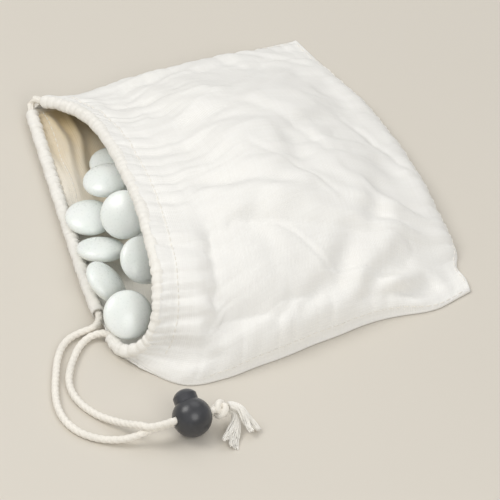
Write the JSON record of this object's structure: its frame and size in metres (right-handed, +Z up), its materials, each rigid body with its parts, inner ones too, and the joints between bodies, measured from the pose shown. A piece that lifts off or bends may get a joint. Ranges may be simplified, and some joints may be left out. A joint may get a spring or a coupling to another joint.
{
  "type": "go stone bag",
  "caption": "Cotton drawstring bag filled with white go stones, lying on its side with its mouth open, its cord looped out to a round push-button cord lock and a knot",
  "frame": {"origin": "on the table, under the middle of the bag's own box without its free cord and cord lock", "axes": "+Z up, +X across the bag towards the side where the cord and its lock lie, +Y from the open mouth to the closed end"},
  "size_m": [0.2395, 0.206, 0.0434],
  "materials": {
    "cotton_cloth": "matte",
    "hem_cloth": "matte",
    "sewing_thread": "matte",
    "cotton_cord": "matte",
    "frayed_cotton": "matte",
    "lock_plastic": "satin",
    "button_plastic": "satin",
    "spring_steel": "satin",
    "stone_glass": "satin"
  },
  "bodies": {
    "bag": {"bag_lower_panel": "cotton_cloth", "bag_upper_panel": "cotton_cloth", "lower_hem_casing": "hem_cloth", "upper_hem_casing": "hem_cloth", "far_side_seam_stitches": "sewing_thread", "near_side_seam_stitches": "sewing_thread", "bottom_seam_stitches": "sewing_thread", "lower_hem_stitches": "sewing_thread", "drawcord_in_hem": "cotton_cord", "cord_strand_inner": "cotton_cord", "cord_strand_outer": "cotton_cord", "cord_knot": "cotton_cord", "frayed_tail_inner": "frayed_cotton", "frayed_tail_outer": "frayed_cotton", "rear_stone_1": "stone_glass", "rear_stone_2": "stone_glass", "rear_stone_3": "stone_glass", "stones_layer_1": "stone_glass", "stones_layer_2": "stone_glass", "stones_layer_3": "stone_glass", "stones_layer_4": "stone_glass"},
    "cord_lock": {"lock_barrel": "lock_plastic", "lock_spring": "spring_steel"},
    "push_button": {"lock_button": "button_plastic"},
    "loose_stone_1": {"front_stone_1": "stone_glass"},
    "loose_stone_2": {"front_stone_2": "stone_glass"},
    "loose_stone_3": {"front_stone_3": "stone_glass"},
    "loose_stone_4": {"front_stone_4": "stone_glass"}
  },
  "joints": [
    {"name": "lock_slide", "type": "slide", "parent": "bag", "child": "cord_lock", "axis": [0, -1, 0], "range_m": [0, 0.01]},
    {"name": "button_press", "type": "slide", "parent": "cord_lock", "child": "push_button", "axis": [0.866, 0, -0.5], "range_m": [0, 0.0025], "stiffness_N_per_m": 300, "springref_m": -0.002, "deforming": ["lock_spring"]},
    {"name": "stone_1_lift", "type": "slide", "parent": "bag", "child": "loose_stone_1", "axis": [0, -0.7071, 0.7071], "range_m": [0, 0.03]},
    {"name": "stone_2_lift", "type": "slide", "parent": "bag", "child": "loose_stone_2", "axis": [0, -0.7071, 0.7071], "range_m": [0, 0.03]},
    {"name": "stone_3_lift", "type": "slide", "parent": "bag", "child": "loose_stone_3", "axis": [0, -0.7071, 0.7071], "range_m": [0, 0.03]},
    {"name": "stone_4_lift", "type": "slide", "parent": "bag", "child": "loose_stone_4", "axis": [0, -0.7071, 0.7071], "range_m": [0, 0.03]}
  ]
}
